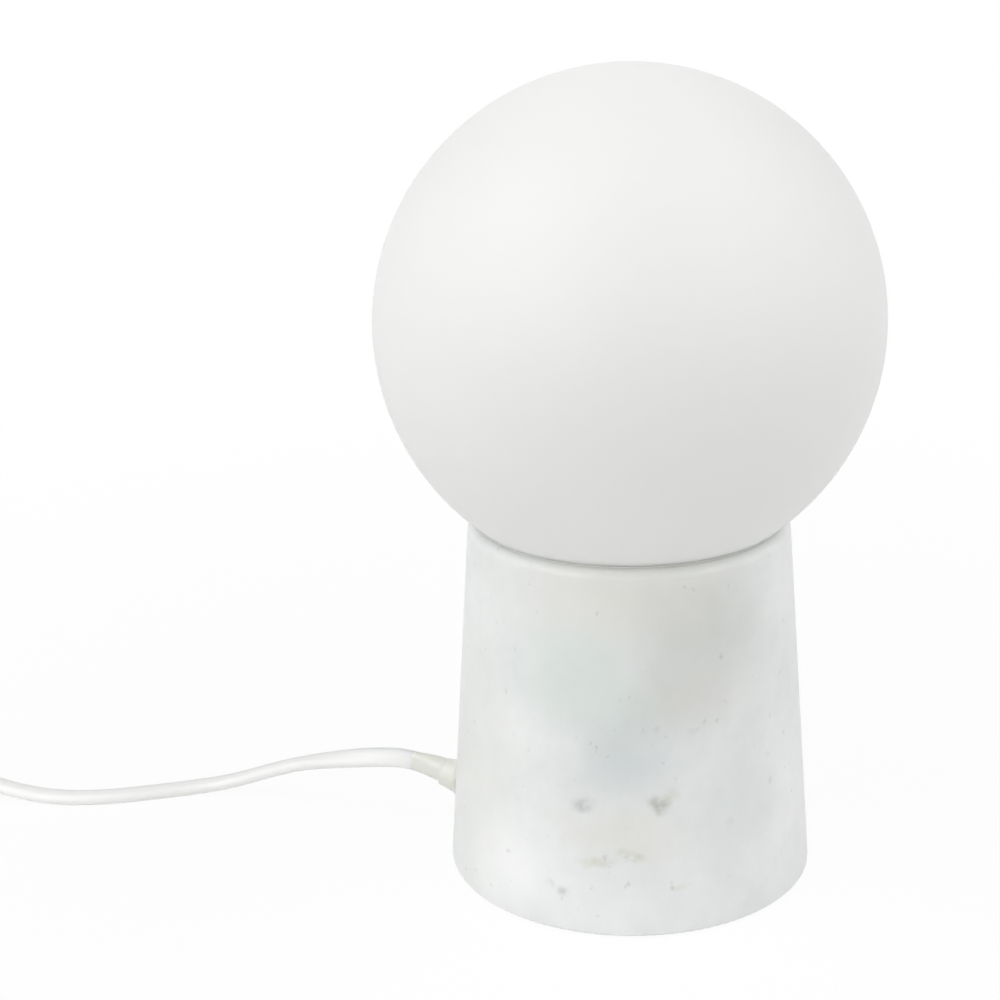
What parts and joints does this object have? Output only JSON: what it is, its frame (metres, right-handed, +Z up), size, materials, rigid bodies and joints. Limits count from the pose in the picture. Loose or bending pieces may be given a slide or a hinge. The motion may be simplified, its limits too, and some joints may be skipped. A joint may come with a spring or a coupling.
{
  "type": "glass globe table lamp",
  "caption": "Table lamp: an opal glass globe resting in the dished rim of a tapered white marble base, with a screw-base bulb inside and a flat white mains cord with rocker switch and plug.",
  "frame": {"origin": "centre of the round foot, on the surface the lamp stands on", "axes": "+Z up along the axis of base and globe; -Y is the front; the cord leaves low on the left, -X, side, 14 degrees behind straight left"},
  "size_m": [0.4192, 0.1801, 0.2467],
  "materials": {
    "honed_marble": "honed",
    "eva_foam": "matt",
    "white_moulding": "fine moulded",
    "zinc_plated_steel": "zinc plated",
    "brass": "turned",
    "silicone": "satin",
    "opal_glass": "acid etched satin",
    "white_steel": "powder coat",
    "holder_thermoplastic": "fine moulded",
    "steatite": "unglazed",
    "nickel": "nickel plated",
    "clear_glass": "clear",
    "filament_coating": "matt silicone phosphor",
    "vitrite": "black glass",
    "solder": "tin",
    "clear_pvc": "clear soft moulded",
    "cord_pvc": "extruded",
    "wire_brown": "extruded",
    "wire_blue": "extruded",
    "switch_moulding": "polished moulded",
    "plug_moulding": "soft moulded",
    "sleeve_nylon": "moulded",
    "tie_paper": "paper covered wire"
  },
  "bodies": {
    "lamp_base": {"stone_base": "honed_marble", "foot_pad": "eva_foam", "base_cover": "white_moulding", "cover_screws": "zinc_plated_steel", "cover_inserts": "brass", "seat_ring": "silicone", "stem_tube": "zinc_plated_steel", "stem_nut_lower": "zinc_plated_steel", "stem_washer_lower": "zinc_plated_steel", "carrier_plate": "white_steel", "stem_washer_upper": "zinc_plated_steel", "stem_nut_upper": "zinc_plated_steel", "lampholder_dome": "holder_thermoplastic", "lampholder_lock_screw": "zinc_plated_steel", "lampholder_skirt": "holder_thermoplastic", "lampholder_core": "steatite", "terminal_screws": "zinc_plated_steel", "socket_shell": "nickel", "centre_contact": "brass", "cord_bush": "clear_pvc", "inner_lead": "cord_pvc", "clamp_bar": "white_moulding", "clamp_screws": "zinc_plated_steel", "wire_live": "wire_brown", "wire_neutral": "wire_blue", "cord_to_switch": "cord_pvc", "cord_to_coil": "cord_pvc", "cord_coil": "cord_pvc", "cord_to_plug": "cord_pvc", "cord_tie": "tie_paper", "switch_lower_shell": "switch_moulding", "switch_upper_shell": "switch_moulding", "switch_screws": "zinc_plated_steel", "switch_rocker_pin": "zinc_plated_steel", "switch_contacts": "brass", "plug_body": "plug_moulding", "plug_pins": "nickel", "plug_pin_sleeves": "sleeve_nylon"},
    "globe": {"glass_globe": "opal_glass"},
    "bulb_tip": {"bulb_cap_contact": "solder"},
    "bulb": {"bulb_glass": "clear_glass", "bulb_stem": "clear_glass", "bulb_filaments": "filament_coating", "bulb_filament_wires": "nickel", "bulb_cap": "nickel", "bulb_cap_insulator": "vitrite"},
    "rocker": {"switch_rocker": "switch_moulding"}
  },
  "joints": [
    {"name": "globe_lift", "type": "slide", "parent": "lamp_base", "child": "globe", "axis": [0, 0, 1], "range_m": [0, 0.11]},
    {"name": "bulb_advance", "type": "slide", "parent": "lamp_base", "child": "bulb_tip", "axis": [0, 0, 1], "range_m": [0, 0.02256]},
    {"name": "bulb_turn", "type": "hinge", "parent": "bulb_tip", "child": "bulb", "pos_m": [0, 0, 0.13], "axis": [0, 0, 1], "range_deg": [0, 2880]},
    {"name": "rocker_tilt", "type": "hinge", "parent": "lamp_base", "child": "rocker", "pos_m": [-0.265, 0.048, 0.0133], "axis": [0, -1, 0], "range_deg": [0, 16]}
  ],
  "couplings": [
    {"joint": "bulb_advance", "follows": "bulb_turn", "m_per_rad": 0.00044881}
  ]
}
